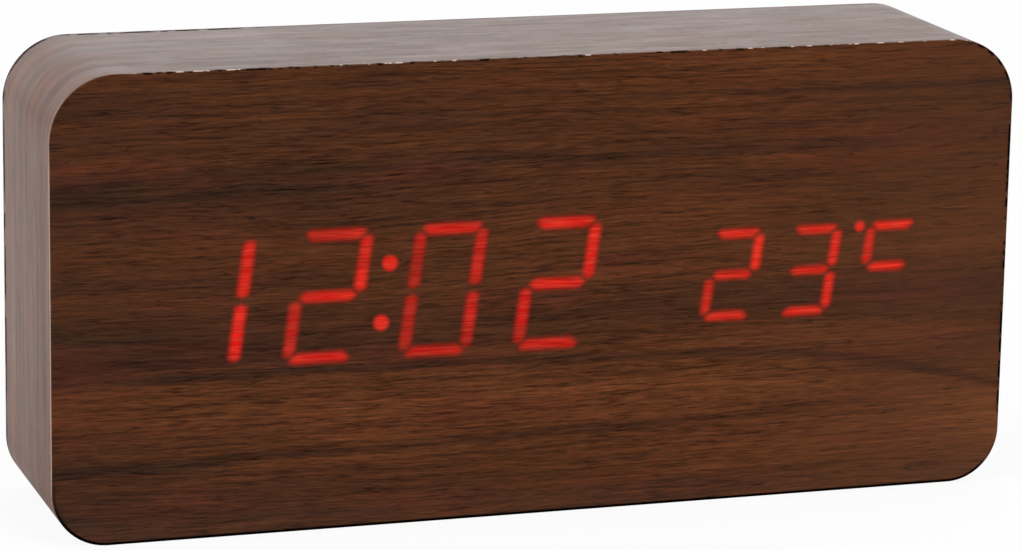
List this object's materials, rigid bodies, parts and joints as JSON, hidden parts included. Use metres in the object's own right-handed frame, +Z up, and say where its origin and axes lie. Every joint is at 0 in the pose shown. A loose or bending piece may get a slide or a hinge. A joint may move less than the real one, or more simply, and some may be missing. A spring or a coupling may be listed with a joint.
{
  "type": "digital clock",
  "caption": "Wood-veneered block desk clock with red seven-segment time and temperature digits showing through the front, rear buttons, battery door and power inlet.",
  "frame": {"origin": "middle of the base, at the bottom of the bounding box", "axes": "+X to the right along the case as seen from the front, -Y out of the front face, +Y out of the back, +Z up"},
  "size_m": [0.15, 0.034, 0.07],
  "materials": {
    "walnut_veneer": "satin walnut-brown veneer",
    "walnut_band": "satin walnut-brown veneer, wrapped round the edge",
    "mdf": "raw fibreboard",
    "black_plastic": "fine moulded texture",
    "button_plastic": "smooth moulded",
    "display_housing": "matt black",
    "display_segments": "cast red resin",
    "circuit_board": "green solder mask",
    "black_component": "moulded",
    "screw_steel": "zinc plated",
    "nickel": "nickel plated",
    "can_metal": "plain metal can",
    "cell_sleeve": "blue-grey printed sleeve, bare",
    "connector_plastic": "moulded",
    "ribbon_grey": "PVC ribbon",
    "wire_red": "PVC",
    "wire_black": "PVC"
  },
  "bodies": {
    "clock": {"front_veneer": "walnut_veneer", "back_veneer": "walnut_veneer", "side_veneer": "walnut_band", "case_body": "mdf", "rear_cover": "black_plastic", "time_display_housing": "display_housing", "temperature_display_housing": "display_housing", "time_display_segments": "display_segments", "temperature_display_segments": "display_segments", "display_board": "circuit_board", "control_board": "circuit_board", "driver_chip": "black_component", "clock_chip": "black_component", "buzzer": "black_component", "temperature_sensor": "black_component", "coin_cell_holder": "black_component", "set_switch": "black_component", "up_switch": "black_component", "down_switch": "black_component", "dc_jack": "black_component", "display_board_screw_1": "screw_steel", "display_board_screw_2": "screw_steel", "display_board_screw_3": "screw_steel", "display_board_screw_4": "screw_steel", "cover_screw_1": "screw_steel", "cover_screw_2": "screw_steel", "cover_screw_3": "screw_steel", "cover_screw_4": "screw_steel", "control_board_screw_1": "screw_steel", "control_board_screw_2": "screw_steel", "battery_contact_positive": "nickel", "battery_contact_negative": "nickel", "battery_bridge_1": "nickel", "battery_bridge_2": "nickel", "dc_jack_pin": "nickel", "dc_jack_nut": "nickel", "crystal": "can_metal", "microphone": "can_metal", "coin_cell": "can_metal", "battery_cell_1": "cell_sleeve", "battery_cell_2": "cell_sleeve", "battery_cell_3": "cell_sleeve", "display_connector": "connector_plastic", "control_connector": "connector_plastic", "ribbon_cable": "ribbon_grey", "battery_wire_red": "wire_red", "jack_wire_red": "wire_red", "battery_wire_black": "wire_black", "jack_wire_black": "wire_black"},
    "set_button": {"set_button": "button_plastic", "set_plunger": "black_component"},
    "up_button": {"up_button": "button_plastic", "up_plunger": "black_component"},
    "down_button": {"down_button": "button_plastic", "down_plunger": "black_component"},
    "battery_door": {"battery_door": "black_plastic"}
  },
  "joints": [
    {"name": "set_press", "type": "slide", "parent": "clock", "child": "set_button", "axis": [0, -1, 0], "range_m": [0, 0.0005], "stiffness_N_per_m": 200, "springref_m": -0.0005},
    {"name": "up_press", "type": "slide", "parent": "clock", "child": "up_button", "axis": [0, -1, 0], "range_m": [0, 0.0005], "stiffness_N_per_m": 200, "springref_m": -0.0005},
    {"name": "down_press", "type": "slide", "parent": "clock", "child": "down_button", "axis": [0, -1, 0], "range_m": [0, 0.0005], "stiffness_N_per_m": 200, "springref_m": -0.0005},
    {"name": "battery_door_hinge", "type": "hinge", "parent": "clock", "child": "battery_door", "pos_m": [-0.0348, 0.016, 0.01455], "axis": [-1, 0, 0], "range_deg": [0, 75]}
  ]
}
